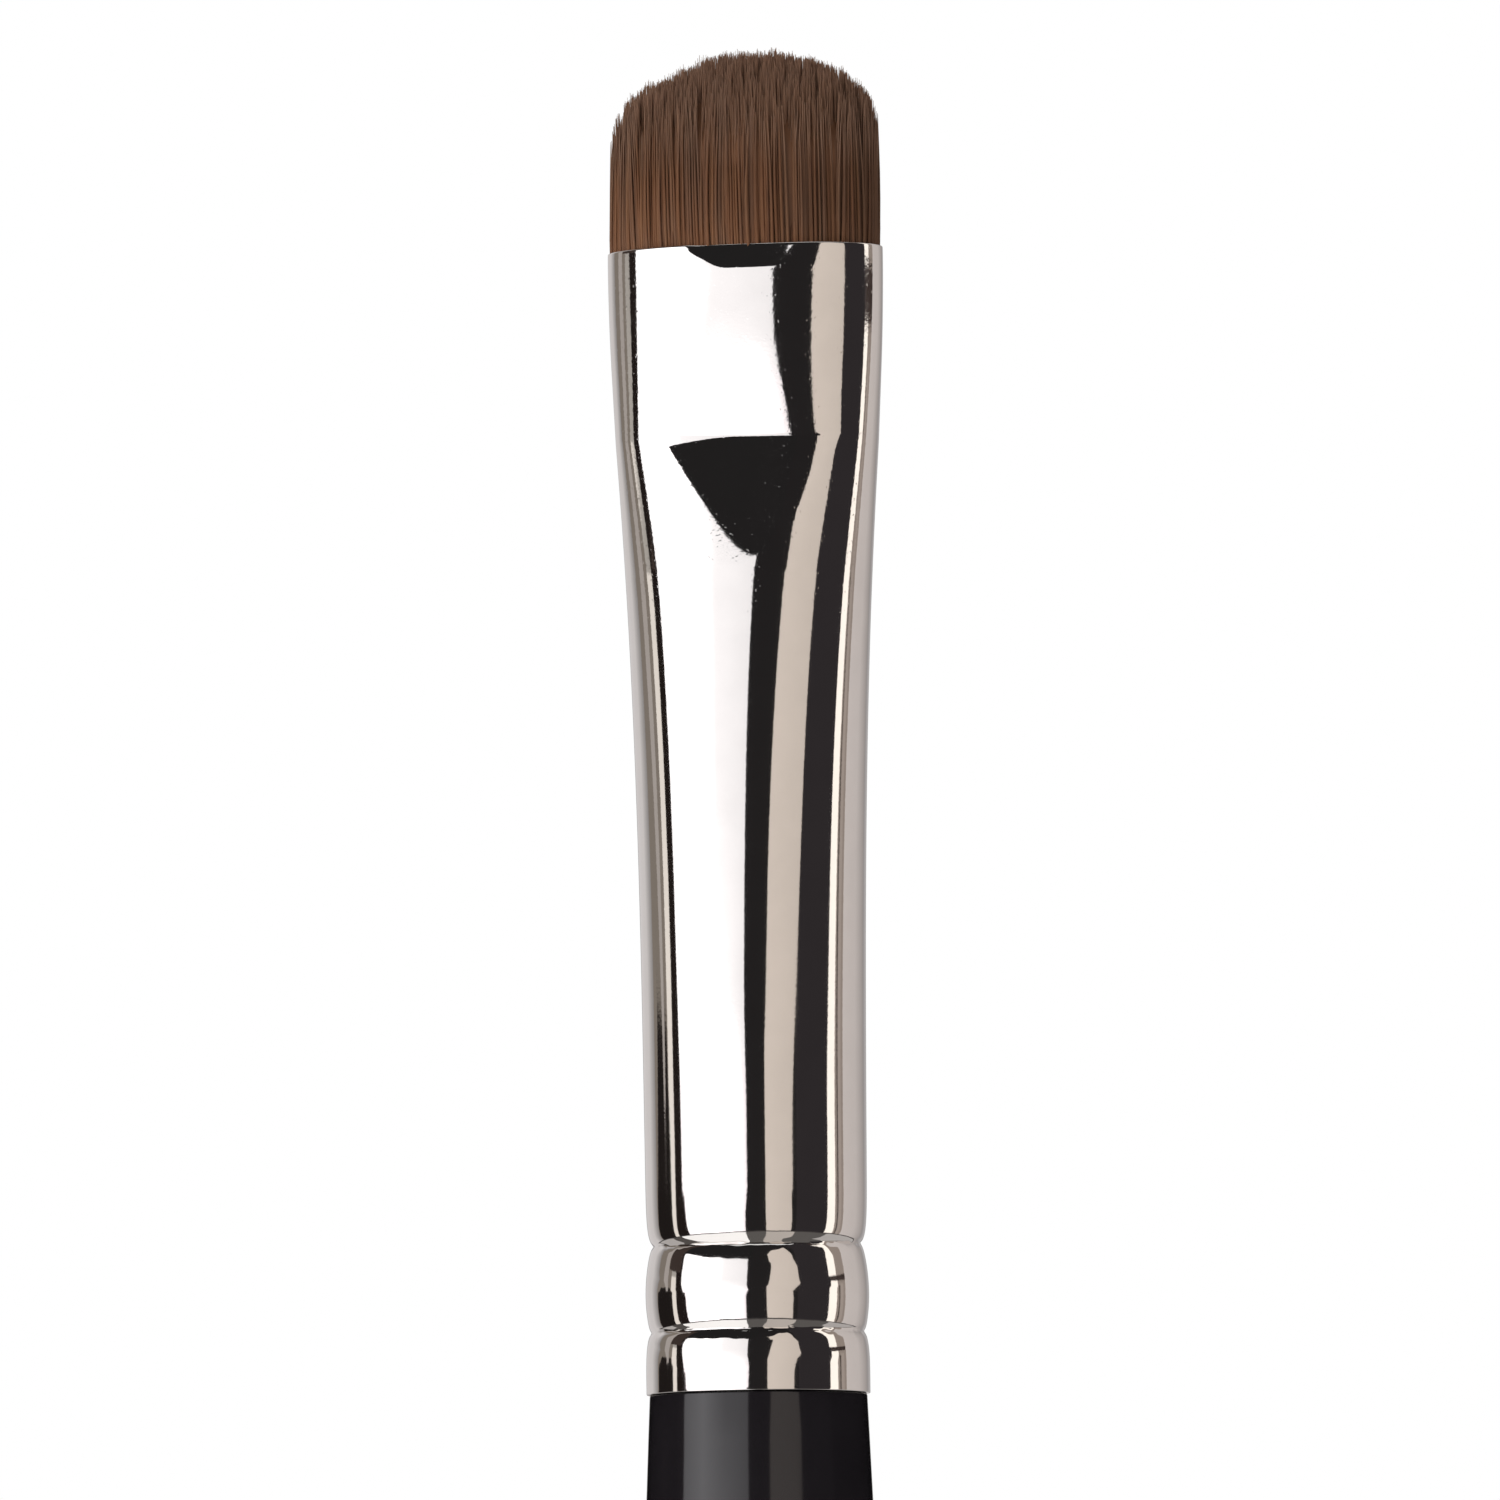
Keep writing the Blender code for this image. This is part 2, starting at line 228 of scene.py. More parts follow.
ferruleLook = {
    "sides": 192,
    "wall": 0.25 * mm,
    "mouthWallShare": 0.5,              # of the wall's thickness, where the mouth is drawn thin
    "mouthWallReach": 2.0 * mm,
    # the section, from the round tube to the flat mouth
    "tubeRadius": 3.48 * mm,
    "tubeHalfThickness": 3.6 * mm,      # a touch deeper than wide, where the press let go
    "ovalStart": 24 * mm,               # and round again from here to there
    "ovalStop": 30 * mm,
    "mouthHalfWidth": 4.54 * mm,
    "mouthHalfThickness": 2.459 * mm,
    "flareReach": 12 * mm,
    "flarePower": 1.5,
    "creaseHalfThickness": 2.435 * mm,  # of the tube beside the pressed face
    "facetEndHalfThickness": 3.013 * mm,
    "roundOffReach": 7.847 * mm,
    "squareLeft": 0.311,                # how much fuller than an ellipse each half is at the crease
    "squareRight": 0.034,
    "squareMouth": 0.158,               # the right half at the mouth
    "squareFade": 1.4,                  # facet lengths over which it dies out
    "squareAround": 0.127,              # and all round below the crease, fading down the tube
    "squareAroundReach": 9.0 * mm,
    # the pressed face, its crease and the facet below
    "creaseDepth": 6.1 * mm,
    "creaseSkew": 0.128,                # lower on the left
    "facetLength": 4.262 * mm,
    "facetHalfWidth": 2.603 * mm,
    "facetCenter": 0.699 * mm,
    "facetDrift": 0.073,
    "facetDent": 0.104,                 # press depth per width
    "facetFade": 2.38,
    "facetRound": 0.5 * mm,
    "facetRoundShare": 0.4,
    "facetBlend": 0.04 * mm,
    "dentEdge": 1.2 * mm,               # half thickness under which the dents die out
    # the mouth's rim leans in all round, and its lip more so on a stretch of each face
    "mouthLean": 0.024,
    "mouthLeanLength": 2.9 * mm,
    "mouthLeanBlend": 0.9 * mm,
    "lipLean": 0.15 * mm,
    "lipDepth": 0.8 * mm,
    "lipShallow": 0.25,                 # share of that depth where the lip starts
    "lipDeepen": 1.3 * mm,
    "lipStart": -1.35 * mm,
    "lipStartFade": 0.5 * mm,
    "lipStop": 0.9 * mm,
    "lipStopFade": 2.4 * mm,
    "edgeRound": 0.05 * mm,
    "rimRound": 0.03 * mm,
    # each crimp: rise, draw, depth and width of the narrow groove at its bottom
    "upperCrimp": (4.72 * mm, 0.165 * mm, 0.08 * mm, 0.09 * mm),
    "lowerCrimp": (1.95 * mm, 0.09 * mm, 0.07 * mm, 0.075 * mm),
    "crimpTilt": 0.08 * mm,             # the upper one lies lower in front
    "upperReach": 0.43 * mm,
    "barrelCrest": 3.13 * mm,
    "barrelPower": 2.0,
    "crestSwell": 0.04 * mm,
    "rimPower": 5,
    "rimSwell": 0.05 * mm,
    # unevenness round the crimps
    "noiseRadius": 3.0,
    "crimpWander": 0.012 * mm,
    "wanderScale": 1.7,
    "lowerWanderPlace": 9.0,
    "crimpNicks": 0.035 * mm,
    "nickScale": 5.0,
    "nickStep": 0.5 * mm,
    "nickPlace": 20.0,
    "nickReach": 0.16 * mm,
    "nickAbove": 0.2,                   # share of the nicks above a groove
    # finish
    "color": (0.80, 0.775, 0.75),
    "hazeShade": 0.96,
    "hazeScale": 900.0,
    "roughness": 0.035,
    "hazeRoughness": 1.8,               # times as rough where the haze is thick
    "peel": 0.0004 * mm,
    "pressedPeel": 0.001 * mm,
    "pressedReach": (13.0 * mm, 8.0 * mm),
    "peelScale": 7500.0,
    "speckHeight": 0.0006 * mm,
    "speckReach": (13.0 * mm, 11.0 * mm),
    "speckRange": (0.74, 0.82),
    "speckScale": 11000.0,
}


def drawnCurve(swell, draw, share, power):
    # from a swelling in to a groove
    return swell - (swell + draw) * share ** power


def crimpChange(rise, angle):
    # drawn in to a sharp groove above and below a barrel, then flared to the rim
    look = ferruleLook
    around = Vector((look["noiseRadius"] * math.cos(angle), look["noiseRadius"] * math.sin(angle), 0.0))
    wander = around * look["wanderScale"]
    upper, upperDraw, upperDepth, upperWidth = look["upperCrimp"]
    lower, lowerDraw, lowerDepth, lowerWidth = look["lowerCrimp"]
    upper += look["crimpWander"] * noise.noise(wander) + look["crimpTilt"] * math.sin(angle)
    lower += look["crimpWander"] * noise.noise(wander + Vector((0.0, 0.0, look["lowerWanderPlace"])))
    crest, swell, power = look["barrelCrest"], look["crestSwell"], look["barrelPower"]
    if rise > upper:
        change = -upperDraw * math.exp(-(rise - upper) / look["upperReach"])
    elif rise > crest:
        change = drawnCurve(swell, upperDraw, (rise - crest) / (upper - crest), power)
    elif rise > lower:
        change = drawnCurve(swell, lowerDraw, (crest - rise) / (crest - lower), power)
    else:
        change = drawnCurve(look["rimSwell"], lowerDraw, max(0.0, rise) / lower, look["rimPower"])
    grooves = ((upper, upperDepth, upperWidth), (lower, lowerDepth, lowerWidth))
    for number, (cusp, depth, width) in enumerate(grooves):
        away = abs(rise - cusp)
        change -= depth * math.exp(-away / width)
        # the roll bit unevenly just under each groove
        height = look["nickPlace"] * number + rise / look["nickStep"]
        nick = noise.noise(around * look["nickScale"] + Vector((0.0, 0.0, height)))
        share = 1.0 if rise < cusp else look["nickAbove"]
        change += share * look["crimpNicks"] * nick * math.exp(-away / look["nickReach"])
    return change


def halfThickness(depth):
    look = ferruleLook
    crease, facetEnd = look["creaseHalfThickness"], look["facetEndHalfThickness"]
    if depth < look["creaseDepth"]:
        return mix(look["mouthHalfThickness"], crease, depth / look["creaseDepth"])
    below = depth - look["creaseDepth"]
    if below < look["facetLength"]:
        return mix(crease, facetEnd, below / look["facetLength"])
    missing = math.exp(-(below - look["facetLength"]) / look["roundOffReach"])
    full = look["tubeHalfThickness"] - (look["tubeHalfThickness"] - facetEnd) * missing
    roundShare = ease((depth - look["ovalStart"]) / (look["ovalStop"] - look["ovalStart"]))
    return mix(full, look["tubeRadius"], roundShare)


def pressDent(side, depth):
    # how far the press pushed the face in; side runs to the right on the near face
    look = ferruleLook
    crease = look["creaseDepth"] + look["creaseSkew"] * max(0.0, -side)
    below = max(0.0, depth - crease)
    halfWidth = look["facetHalfWidth"] * (1.0 - below / look["facetLength"])
    away = math.hypot(side - look["facetCenter"] - look["facetDrift"] * below, look["facetRound"])
    reach = halfWidth + look["facetRound"] * look["facetRoundShare"]
    inside = softPositive(reach - away, look["facetBlend"])
    return look["facetDent"] * inside * min(1.0, depth / crease) ** look["facetFade"]


def lipDent(side, depth):
    look = ferruleLook
    fromStart = side - look["lipStart"]
    fromStop = side - look["lipStop"]
    reach = ease(fromStart / look["lipStartFade"]) * (1.0 - ease(fromStop / look["lipStopFade"]))
    depthHere = look["lipDepth"] * mix(look["lipShallow"], 1.0, ease(fromStart / look["lipDeepen"]))
    return look["lipLean"] * reach * max(0.0, 1.0 - depth / depthHere)


def squareness(depth, leftHalf):
    # 0 is an ellipse
    look = ferruleLook
    share = depth / look["creaseDepth"]
    below = depth - look["creaseDepth"]
    fade = math.exp(-max(0.0, below) / look["squareAroundReach"])
    around = look["squareAround"] * fade * clamp(share) ** 2
    if share > 1.0:
        share = max(0.0, 1.0 - below / (look["squareFade"] * look["facetLength"]))
    if leftHalf:
        return look["squareLeft"] * share * share + around
    mouth = look["squareMouth"] * clamp(-below / look["creaseDepth"])
    return look["squareRight"] * share * share + mouth + around


def ferrulePoint(depth, angle):
    look = ferruleLook
    rise = mouthZ - rimZ - depth
    change = crimpChange(rise, angle)
    for fromEdge, edgeRound in ((depth, look["edgeRound"]), (rise, look["rimRound"])):
        edge = clamp(1.0 - fromEdge / edgeRound)
        change -= edgeRound * (1.0 - math.sqrt(1.0 - edge * edge))
    change -= look["mouthLean"] * softPositive(look["mouthLeanLength"] - depth, look["mouthLeanBlend"])
    flare = math.exp(-((max(0.0, depth) / look["flareReach"]) ** look["flarePower"]))
    halfWidth = mix(look["tubeRadius"], look["mouthHalfWidth"], flare) + change
    across, through = math.cos(angle), math.sin(angle)
    power = 2.0 / (2.0 + squareness(depth, across * through > 0.0))
    x = halfWidth * math.copysign(abs(across) ** power, across)
    y = (halfThickness(depth) + change) * abs(through) ** power
    side = x if through < 0.0 else -x
    y -= (pressDent(side, depth) + lipDent(side, depth)) * min(1.0, y / look["dentEdge"])
    return x, math.copysign(y, through)


def ferruleDepths():
    # where each stretch ends and its number of rings, close together where the section changes fast
    look = ferruleLook
    length = mouthZ - rimZ
    crease = look["creaseDepth"]
    stretches = (
        (look["edgeRound"], 4), (look["lipDepth"] * 1.1, 12), (crease - 0.3 * mm, 16),
        (crease + 0.9 * mm, 26), (crease + 5.0 * mm, 28), (20.0 * mm, 18), (length - 7.0 * mm, 10),
        (length - look["rimRound"], 118), (length, 4))
    depths = [0.0]
    for stop, count in stretches:
        depths += spread(depths[-1], stop, count)
    return depths


def wallAt(depth):
    look = ferruleLook
    return look["wall"] * mix(look["mouthWallShare"], 1.0, clamp(depth / look["mouthWallReach"]))


def buildFerrule():
    look = ferruleLook
    tube = ringTube("ferruleTube", look["sides"], [mouthZ - depth for depth in ferruleDepths()])
    for vertex in tube.data.vertices:
        angle = math.atan2(vertex.co.y, vertex.co.x)
        vertex.co.x, vertex.co.y = ferrulePoint(mouthZ - vertex.co.z, angle)
    outwards(tube)
    thin = tube.vertex_groups.new(name="wallShare")
    for vertex in tube.data.vertices:
        thin.add([vertex.index], wallAt(mouthZ - vertex.co.z) / look["wall"], "REPLACE")
    wall = tube.modifiers.new("wall", "SOLIDIFY")
    wall.vertex_group = thin.name
    wall.thickness = look["wall"]
    wall.offset = -1.0
    wall.use_even_offset = True
    applyModifiers(tube)
    smooth(tube, 50)
    place(tube, "nickel", nickelMaterial(), "ferrule")
    return tube


def nickelMaterial():
    # polished plate with faint haze, and an orange peel that is rougher where the tube was pressed
    look = ferruleLook
    material, tree, shader = startMaterial("polishedNickel")
    point = objectPoint(tree)
    height = addNode(tree, "ShaderNodeSeparateXYZ", Vector=point).outputs["Z"]
    haze = noiseAt(tree, point, look["hazeScale"], 3.0)
    tone = ramp(tree, haze, [(0.3, scaled(look["color"], look["hazeShade"])), (0.7, look["color"])])
    plug(tree, tone, shader.inputs["Base Color"])
    shader.inputs["Metallic"].default_value = 1.0
    low = look["roughness"]
    roughness = mapRange(tree, haze, 0.0, 1.0, low, low * look["hazeRoughness"])
    plug(tree, roughness, shader.inputs["Roughness"])
    start, stop = look["pressedReach"]
    pressed = mapRange(tree, height, mouthZ - start, mouthZ - stop, look["peel"], look["pressedPeel"])
    rough = compute(tree, "MULTIPLY", noiseAt(tree, point, look["peelScale"], 2.0), pressed)
    # a few specks round the crease
    pits = noiseAt(tree, point, look["speckScale"], 0.0)
    specks = mapRange(tree, pits, *look["speckRange"], 0.0, look["speckHeight"])
    start, stop = look["speckReach"]
    above = mapRange(tree, height, mouthZ - start, mouthZ - stop)
    relief = compute(tree, "MULTIPLY_ADD", specks, above, rough)
    bump = addNode(tree, "ShaderNodeBump", Strength=1.0, Distance=1.0, Height=relief)
    plug(tree, bump.outputs["Normal"], shader.inputs["Normal"])
    return material


# Handle: turned wood under gloss black lacquer. A drop is measured down from the ferrule's rim.

handleLook = {
    "sides": 128,
    "topRadius": 3.44 * mm,
    "topRound": 0.06 * mm,
    "topGap": 0.02 * mm,
    "bellyRadius": 4.25 * mm,
    "bellyDrop": 30.0 * mm,
    "taperPower": 1.5,
    "endRadius": 2.6 * mm,
    "endRound": 1.8 * mm,
    "endFlatRadius": 2.0 * mm,
    "tenonRadius": 3.0 * mm,
    "tenonNeckRadius": 2.5 * mm,
    "tenonNeckLength": 3.1 * mm,
    "tenonGroove": 0.25 * mm,
    "tenonGrooveWidth": 0.9 * mm,
    # finish
    "color": (0.0122, 0.0104, 0.0122),
    "cloudShade": 1.5,
    "cloudScale": 260.0,
    "roughness": 0.07,
    "cloudRoughness": 1.5,
    "ior": 1.52,
    "peelScale": 1500.0,
    "peelStrength": 0.06,
    "peelHeight": 0.004 * mm,
}


def handleRadius(drop):
    look = handleLook
    belly = look["bellyDrop"]
    if drop < belly:
        return mix(look["topRadius"], look["bellyRadius"], math.sin(0.5 * math.pi * max(0.0, drop) / belly))
    endDrop = rimZ - look["endRound"]
    share = (drop - belly) / (endDrop - belly)
    return mix(look["bellyRadius"], look["endRadius"], share ** look["taperPower"])


def handleProfile():
    # (radius, height) from the tenon's top down to the flat end
    look = handleLook
    neckRadius = look["tenonNeckRadius"]
    neckEnd = tenonTopZ - look["tenonNeckLength"]
    profile = [(neckRadius, tenonTopZ), (neckRadius, neckEnd), (look["tenonRadius"], neckEnd)]
    width = look["tenonGrooveWidth"]
    for crimp in ("upperCrimp", "lowerCrimp"):
        groove = rimZ + ferruleLook[crimp][0]
        profile.append((look["tenonRadius"], groove + width))
        profile.append((look["tenonRadius"] - look["tenonGroove"], groove))
        profile.append((look["tenonRadius"], groove - width))
    top = rimZ - look["topGap"]
    profile += [(look["tenonRadius"], top), (look["topRadius"] - look["topRound"], top)]
    for turn in spread(0.0, 0.5 * math.pi, 6):
        radius = look["topRadius"] - look["topRound"] * (1.0 - math.sin(turn))
        profile.append((radius, top - look["topRound"] * (1.0 - math.cos(turn))))
    start = look["topGap"] + look["topRound"]
    for drop in spread(start, rimZ - look["endRound"], 90):
        profile.append((handleRadius(drop), rimZ - drop))
    for turn in spread(0.0, 0.5 * math.pi, 10):
        radius = mix(look["endFlatRadius"], look["endRadius"], math.cos(turn))
        profile.append((radius, look["endRound"] * (1.0 - math.sin(turn))))
    return profile


def buildHandle():
    # the rings are drawn a millimetre apart, and then each takes its place in the profile
    profile = handleProfile()
    count = len(profile)
    stick = ringTube("lacqueredHandle", handleLook["sides"], [mm * index for index in range(count, 0, -1)])
    for vertex in stick.data.vertices:
        angle = math.atan2(vertex.co.y, vertex.co.x)
        radius, height = profile[count - int(round(vertex.co.z / mm))]
        vertex.co = (radius * math.cos(angle), radius * math.sin(angle), height)
    closeRings(stick, (profile[0][1], profile[-1][1]))
    outwards(stick)
    smooth(stick, 35)
    place(stick, "lacquer", lacquerMaterial(), "handle")


def lacquerMaterial():
    # black lacquer with a slight brown cast and a little orange peel
    look = handleLook
    material, tree, shader = startMaterial("blackLacquer")
    point = objectPoint(tree)
    cloud = noiseAt(tree, point, look["cloudScale"], 3.0)
    tone = ramp(tree, cloud, [(0.3, look["color"]), (0.75, scaled(look["color"], look["cloudShade"]))])
    plug(tree, tone, shader.inputs["Base Color"])
    low = look["roughness"]
    roughness = mapRange(tree, cloud, 0.0, 1.0, low, low * look["cloudRoughness"])
    plug(tree, roughness, shader.inputs["Roughness"])
    shader.inputs["IOR"].default_value = look["ior"]
    peel = noiseAt(tree, point, look["peelScale"], 1.0)
    bump = addNode(
        tree, "ShaderNodeBump", Strength=look["peelStrength"], Distance=look["peelHeight"], Height=peel)
    plug(tree, bump.outputs["Normal"], shader.inputs["Normal"])
    return material


# Hair: a few thousand fine strands in small clumps, cut to a dome. Places in the tuft are u across and v
# through it, 1 at its edge, and the rise above the mouth.

hairLook = {
    "seed": 11,
    "strands": 7000,
    "clumps": 260,
    "points": 7,
    # the tuft's form
    "rootDepth": 1.1 * mm,
    "mouthGap": 0.04 * mm,
    "shoulderHalfWidth": 4.36 * mm,
    "shoulderHalfThickness": 2.5 * mm,
    "shoulderRise": 3.45 * mm,
    "swellReach": 1.0 * mm,
    "shift": 0.05 * mm,
    "domeTilt": 0.2 * mm,               # higher on the right
    "domePower": 2.25,
    "domeTop": -0.06 * mm,              # above the solid's top
    # place, width and height of what the cut left low and full on the left
    "leftDip": (0.55, 0.2, -0.16 * mm),
    "leftCorner": (0.88, 0.08, 0.1 * mm),
    # strands and clumps
    "clumpUneven": 0.04,
    "clumpLean": (0.012, 0.02),
    "clumpShape": 3.5,
    "clumping": 0.18,
    "clumpPower": 3,
    "strandUneven": 0.06,
    "placeUneven": (0.008, 0.012),
    "placeLimit": 0.995,
    "bow": (0.007, 0.02),
    "strandRadius": 0.036 * mm,
    "rootThickness": 1.9,               # of a strand, and at its middle and its tip
    "middleThickness": 1.2,
    "middleShare": 0.6,
    "tipThickness": 0.18,
    # the inner mass under the free strands
    "coreShare": 0.965,                 # of the tuft
    "coreGap": 0.8 * mm,                # and how far it stays below the tips
    "coreTop": 0.04,
    "coreTone": 0.44,
    "coreSides": 128,
    "coreSeat": 0.55,                   # share of the root depth where it starts to follow the tube
    "corePacking": 1.3,
    # shades
    "streaks": (9.0, 24.0),             # coarse and fine, across the tuft
    "streaksThrough": (4.0, 9.0),
    "streakPlaces": (3.0, 7.0),
    "toneShares": (0.32, 0.22, 0.12, 0.1),  # coarse streak, fine streak, clump and strand
    "dark": (0.105, 0.046, 0.024),
    "middle": (0.20, 0.090, 0.045),
    "light": (0.29, 0.145, 0.072),
    "threadShare": 0.3,
    "threadScale": 5200.0,
    "cool": (0.17, 0.1, 0.068),
    "coolRange": (0.42, 0.68),
    "coolShare": 0.5,
    "coolScale": 2600.0,
    "rootGlow": 1.1,
    "topGlow": 0.87,
    "glowReach": 0.45,
    # painted shade on the right of the tuft: where it starts and stops across the tuft, its depth, and the
    # heights over which it fades out
    "paintedRightShade": (0.4 * mm, 4.4 * mm, 0.4),
    "paintedShadeFade": (0.15, 0.7),
    "tip": (0.34, 0.205, 0.14),
    "tipReach": 1.4 * mm,
    "tipBlend": 0.56,
    "roughness": 0.55,
    "specular": 0.08,
}


def sunflower(index, count):
    # an even place in the unit disc
    radius = math.sqrt((index + 0.5) / count)
    angle = index * math.pi * (3.0 - math.sqrt(5.0))
    return radius * math.cos(angle), radius * math.sin(angle)


def tuftPoint(u, v, rise):
    # the tuft swells out of the mouth and runs nearly straight up
    look = hairLook
    inset = wallAt(-rise) + look["mouthGap"]
    mouthWidth = ferruleLook["mouthHalfWidth"] - inset
    mouthThickness = ferruleLook["mouthHalfThickness"] - inset - ferruleLook["lipLean"]
    swell = 1.0 - math.exp(-max(0.0, rise) / look["swellReach"])
    return (
        u * mix(mouthWidth, look["shoulderHalfWidth"], swell) + look["shift"] * swell,
        v * mix(mouthThickness, look["shoulderHalfThickness"], swell))


def domeRise(u, v):
    look = hairLook
    full = tuftHighZ - mouthZ + look["domeTop"]
    reach = clamp(math.hypot(u, v))
    rise = mix(look["shoulderRise"], full, math.sqrt(1.0 - reach ** look["domePower"]))
    rise += look["domeTilt"] * u
    for center, width, height in (look["leftDip"], look["leftCorner"]):
        rise += height * math.exp(-(((reach - center) / width) ** 2)) * clamp(-2.0 * u)
    return rise


def strandPath(u, v, tipRise, bow, clump):
    # (x, y, z, thickness) from the root to the tip, drawn towards the clump on the way
    look = hairLook
    root, middle, tip = look["rootThickness"], look["middleThickness"], look["tipThickness"]
    path = []
    for step in range(look["points"]):
        share = step / (look["points"] - 1)
        rise = mix(-look["rootDepth"], tipRise, share)
        pull = look["clumping"] * share ** look["clumpPower"]
        sway = math.sin(math.pi * share)
        pu = mix(u, clump["u"], pull) + bow[0] * sway + clump["lean"][0] * share ** 2
        pv = mix(v, clump["v"], pull) + bow[1] * sway + clump["lean"][1] * share ** 2
        thickness = mix(root, middle, clamp(share / look["middleShare"]))
        if share > look["middleShare"]:
            thickness = mix(middle, tip, (share - look["middleShare"]) / (1.0 - look["middleShare"]))
        path.append((*tuftPoint(pu, pv, rise), mouthZ + rise, thickness))
    return path


def makeClumps(randomly):
    look = hairLook
    clumps = []
    for index in range(look["clumps"]):
        u, v = sunflower(index, look["clumps"])
        tone = randomly.random()
        uneven = randomly.gauss(0.0, look["clumpUneven"])
        lean = [randomly.gauss(0.0, size) for size in look["clumpLean"]]
        clumps.append({"u": u, "v": v, "tone": tone, "uneven": uneven, "lean": lean})
    return clumps


def nearestClump(clumps, u, v):
    shape = hairLook["clumpShape"]
    return min(clumps, key=lambda clump: (clump["u"] - u) ** 2 * shape + (clump["v"] - v) ** 2)


def buildHair(hair):
    look = hairLook
    randomly = random.Random(look["seed"])
    clumps = makeClumps(randomly)
    coarseShare, fineShare, clumpShare, strandShare = look["toneShares"]
    waves = list(zip(look["streaks"], look["streaksThrough"], look["streakPlaces"]))
    halves = [[], []]
    for index in range(look["strands"]):
        u, v = sunflower(index, look["strands"])
        u += randomly.gauss(0.0, look["placeUneven"][0])
        v += randomly.gauss(0.0, look["placeUneven"][1])
        length = math.hypot(u, v)
        if length > look["placeLimit"]:
            u, v = u * look["placeLimit"] / length, v * look["placeLimit"] / length
        clump = nearestClump(clumps, u, v)
        tipRise = domeRise(u, v) + (clump["uneven"] + randomly.gauss(0.0, look["strandUneven"])) * mm
        coarse, fine = [
            noise.noise(Vector((u * across, v * through, height))) for across, through, height in waves]
        tone = 0.5 + coarseShare * coarse + fineShare * fine + clumpShare * (clump["tone"] - 0.5)
        tone = clamp(tone + strandShare * (randomly.random() - 0.5))
        bow = [randomly.gauss(0.0, size) for size in look["bow"]]
        halves[index % 2].append((strandPath(u, v, tipRise, bow, clump), tone))
    pieces = []
    for name, strands in zip(("hairStrandsA", "hairStrandsB"), halves):
        pieces.append(strandPiece(name, strands, hair))
    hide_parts("hair_tuft")
    return pieces


def strandPiece(name, strands, material):
    curve = bpy.data.curves.new(name, "CURVE")
    curve.dimensions = "3D"
    curve.bevel_depth = hairLook["strandRadius"]
    curve.bevel_resolution = 0
    curve.use_fill_caps = True
    for path, tone in strands:
        spline = curve.splines.new("POLY")
        spline.points.add(len(path) - 1)
        for point, (x, y, z, thickness) in zip(spline.points, path):
            point.co = (x, y, z, 1.0)
            point.radius = thickness
    piece = bpy.data.objects.new(name, curve)
    bpy.context.scene.collection.objects.link(piece)
    activate(piece)
    bpy.ops.object.convert(target="MESH")
    piece = bpy.context.object
    piece.name = name
    mesh = piece.data
    perStrand = len(mesh.vertices) // len(strands)
    owners = [strands[vertex.index // perStrand] for vertex in mesh.vertices]
    storeShades(mesh, [tone for path, tone in owners], [path[-1][2] for path, tone in owners])
    mesh.shade_smooth()
    place(piece, "hair", material)
    triangles = sum(len(face.vertices) - 2 for face in mesh.polygons)
    print(name, len(strands), "strands,", triangles, "triangles")
    return piece


def storeShades(mesh, tones, tipHeights):
    # what the hair's material reads: shade, height above the mouth and nearness to the strand's own tip
    reach = hairLook["tipReach"]
    heights = [clamp((vertex.co.z - mouthZ) / (tuftHighZ - mouthZ)) for vertex in mesh.vertices]
    tips = [clamp(1.0 - (tip - vertex.co.z) / reach) for vertex, tip in zip(mesh.vertices, tipHeights)]
    for name, values in (("strandTone", tones), ("strandHeight", heights), ("strandTip", tips)):
        mesh.attributes.new(name, "FLOAT", "POINT").data.foreach_set("value", values)


def hairMaterial():
    look = hairLook
    material, tree, shader = startMaterial("brownHair")
    height = readAttribute(tree, "strandHeight")
    streak = noiseAt(tree, objectPoint(tree, (1.0, 1.0, 0.06)), look["threadScale"], 2.0)
    blend = addNode(tree, "ShaderNodeMix", {"data_type": "FLOAT"})
    for index, value in ((0, look["threadShare"]), (2, readAttribute(tree, "strandTone")), (3, streak)):
        plug(tree, value, blend.inputs[index])
    color = ramp(
        tree, blend.outputs[0], [(0.15, look["dark"]), (0.5, look["middle"]), (0.88, look["light"])])
    # some locks are greyer
    hue = noiseAt(tree, objectPoint(tree, (1.0, 1.0, 0.04)), look["coolScale"], 1.0)
    coolShare = mapRange(tree, hue, *look["coolRange"], 0.0, look["coolShare"])
    cooler = mixColors(tree, coolShare, color, (*look["cool"], 1.0))
    # lighter at the root, and painted shade low down on the right, the side away from the key light
    warm = mapRange(tree, height, 0.0, look["glowReach"], look["rootGlow"], look["topGlow"])
    across = addNode(tree, "ShaderNodeSeparateXYZ", Vector=objectPoint(tree)).outputs["X"]
    # painted shade: the colour is darkened towards the right, less so higher up
    start, stop, depth = look["paintedRightShade"]
    right = mapRange(tree, across, start, stop, 0.0, depth)
    low = mapRange(tree, height, *look["paintedShadeFade"], 1.0, 0.0)
    level = compute(tree, "SUBTRACT", warm, compute(tree, "MULTIPLY", right, low))
    glow = mixColors(tree, 1.0, cooler, level, "MULTIPLY")
    tipShare = mapRange(tree, readAttribute(tree, "strandTip"), 0.0, 1.0, 0.0, look["tipBlend"])
    tips = mixColors(tree, tipShare, glow, (*look["tip"], 1.0))
    plug(tree, tips, shader.inputs["Base Color"])
    shader.inputs["Roughness"].default_value = look["roughness"]
    shader.inputs["Specular IOR Level"].default_value = look["specular"]
    return material


def coreReach(rise):
    # how much of the tuft's section the inner mass fills: all of it low down, nothing under the dome's top
    look = hairLook
    full = tuftHighZ - mouthZ + look["domeTop"]
    lift = clamp((rise + look["coreGap"] - look["shoulderRise"]) / (full - look["shoulderRise"]))
    return max(look["coreTop"], look["coreShare"] * (1.0 - lift * lift) ** (1.0 / look["domePower"]))


